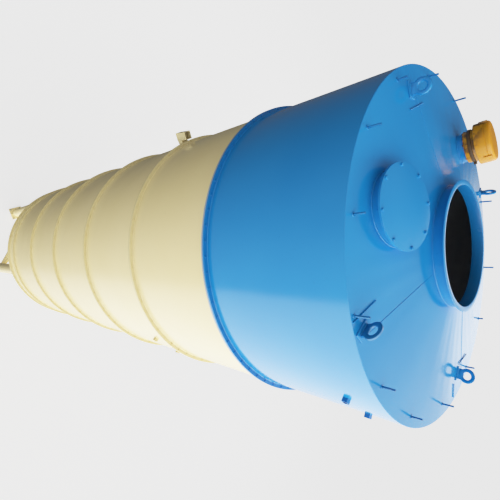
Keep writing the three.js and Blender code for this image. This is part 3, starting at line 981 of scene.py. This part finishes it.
def hopper():
    """The cone with its rim and spout, the outlet's flange, their welds and bolts."""
    steep = (HOPPER_RIM_FOOT - SPOUT_TOP) / (RADIUS - SPOUT_RADIUS)
    across = HOPPER_WALL * math.hypot(1, steep) / steep
    flange = FLANGE_RADIUS
    cone = [(radius, hopper_height(radius)) for radius in spaced(SPOUT_RADIUS, RADIUS, HOPPER_ROWS)]
    profile = [(SPOUT_BORE, SPOUT_FOOT), (SPOUT_RADIUS, SPOUT_FOOT)] + cone
    profile += [(flange - EDGE, HOPPER_RIM_FOOT), (flange, HOPPER_RIM_FOOT + EDGE),
                (flange, SKIRT_FOOT - EDGE), (flange - EDGE, SKIRT_FOOT), (RADIUS - WALL, SKIRT_FOOT),
                (RADIUS - across, HOPPER_RIM_FOOT), (SPOUT_BORE, SPOUT_TOP)]

    def inside(polygon):
        return polygon.normal.z > 0.2 and polygon.center.z < HOPPER_RIM_FOOT + FLANGE_THICK / 2

    obj = obj_from("hopper_plate", revolve(profile), "cream", others=[("inside", inside)])
    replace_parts(obj, "hopper_cone")
    ring = eased([(SPOUT_BORE, OUTLET_FOOT), (OUTLET_RADIUS, OUTLET_FOOT), (OUTLET_RADIUS, SPOUT_FOOT),
                  (SPOUT_BORE, SPOUT_FOOT)])
    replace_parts(obj_from("outlet_flange", revolve(ring, FITTING_ROUND), "cream"), "discharge_flange")

    welds, bolts = Batch(), Batch()
    welds.put(round_bead(SPOUT_RADIUS + BEAD_OUT / 2, SPOUT_TOP, 60, BEAD_SMALL))
    welds.put(round_bead(SPOUT_RADIUS + BEAD_OUT, SPOUT_FOOT + BEAD_OUT / 2, 60, BEAD_SMALL))
    middle = (RADIUS + SPOUT_RADIUS) / 2
    welds.put(round_bead(middle, hopper_height(middle), 180, BEAD_THIN))
    for half in (0, 180):
        points = [at(HOPPER_SEAM + half, out, hopper_height(out))
                  for out in spaced(SPOUT_RADIUS, RADIUS, HOPPER_SEAM_STEPS)]
        welds.put(tube(points, BEAD_THIN, ripple=RIPPLE))
    welds.finish("hopper_welds", "cream", SHARP_BEAD)
    for k in range(OUTLET_BOLTS["count"]):
        spot = turn(360 / OUTLET_BOLTS["count"] * (k + 0.5)) @ shift(OUTLET_BOLTS["circle"], 0, SPOUT_FOOT)
        bolts.put(bolt(OUTLET_BOLTS["size"]), spot)
    bolts.finish("outlet_bolts", "zinc")


def leg_pipe(place):
    """An open pipe from its base plate up to the hopper's slope, and the points round its head."""
    bore = LEG_RADIUS - LEG_WALL
    rings = ((LEG_RADIUS, False), (LEG_RADIUS, True), (bore, True), (bore, False))
    verts = []
    for radius, is_head in rings:
        for k in range(LEG_ROUND):
            spot = 2 * math.pi * k / LEG_ROUND
            x, y = LEG_OUT + radius * math.cos(spot), radius * math.sin(spot)
            height = hopper_height(math.hypot(x, y)) - LEG_HEAD_GAP if is_head else BASE_THICK
            verts.append(place @ Vector((x, y, height)))
    return verts, ring_of_quads(LEG_ROUND, len(rings)), verts[LEG_ROUND:2 * LEG_ROUND]


def legs():
    """The pipes with their welds, and ribs and anchor bolts on the base plates."""
    welds, anchors, ribs = Batch(), Batch(), Batch()
    near = LEG_RADIUS - RIB["sunk"]
    rib = plate([(near, 0), (RIB["reach"], 0), (RIB["reach"], RIB["lip"]),
                 (LEG_RADIUS + RIB["head"], RIB["height"]), (near, RIB["height"])], RIB["thick"])
    for i in range(LEG_COUNT):
        place = turn(LEG_AZIMUTH + 90 * i)
        verts, faces, head = leg_pipe(place)
        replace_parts(obj_from(f"leg_pipe_{i + 1}", (verts, faces), "cream"), f"leg_{i + 1}")
        welds.put(tube(head, BEAD_HEAD, closed=True, ripple=RIPPLE))
        foot = place @ shift(LEG_OUT, 0, BASE_THICK)
        welds.put(round_bead(LEG_RADIUS + BEAD_OUT, BEAD_OUT / 2, 60, BEAD, foot))
        for k in range(4):
            corner = foot @ turn(45 + 90 * k) @ shift(ANCHOR["reach"] * math.sqrt(2), 0, 0)
            anchors.put(nut_with_end(ANCHOR["size"], ANCHOR["end"]), corner @ turn(random.uniform(0, 60)))
            ribs.put(rib, foot @ turn(90 * k))
    welds.finish("leg_welds", "cream", SHARP_BEAD)
    anchors.finish("anchor_bolts", "zinc")
    ribs.finish("foot_ribs", "cream")


def brace_bolts():
    """A bolt through each pair of braces where they cross."""
    bolts = Batch()
    for i in range(LEG_COUNT):
        outward = turn(LEG_AZIMUTH + 45 + 90 * i) @ shift(CHORD_OUT, 0, BRACE_CROSSING) @ OUTWARD
        bolts.put(bolt(BRACE_BOLT), outward @ shift(0, 0, BRACE_THICK))
        bolts.put(nut_with_end(BRACE_BOLT), outward @ FLIP @ shift(0, 0, BRACE_THICK))
    bolts.finish("brace_bolts", "zinc")


def kept_nodes():
    """The CAD pieces that stay, each with its paint and softened edges."""
    slots = {part["node"]: part["material_slot"] for part in frame["record"]["subparts"]}
    for name, node in frame["nodes"].items():
        node.data.materials.clear()
        node.data.materials.append(MATERIALS[slots[name].removesuffix("_paint")])
        if name.startswith(("base_plate", "leg_bracket", "tie", "brace", "pipe_sleeve", "ladder_stub")):
            bevel = node.modifiers.new("soft_edges", "BEVEL")
            bevel.width = SOFT_EDGE
            bevel.segments = 2
            bevel.limit_method = "ANGLE"
            bevel.angle_limit = math.radians(SOFT_ANGLE)


camera()
studio()
tone()
materials()
kept_nodes()
course("skirt_ring", "cream")
for course_name in COURSES:
    course(course_name, "cream")
course("top_course", "blue", top_flange=False)
plate_seams()
seam_bolts()
roof()
manhole()
relief_valve()
lifting_lugs()
posts()
hopper()
legs()
brace_bolts()
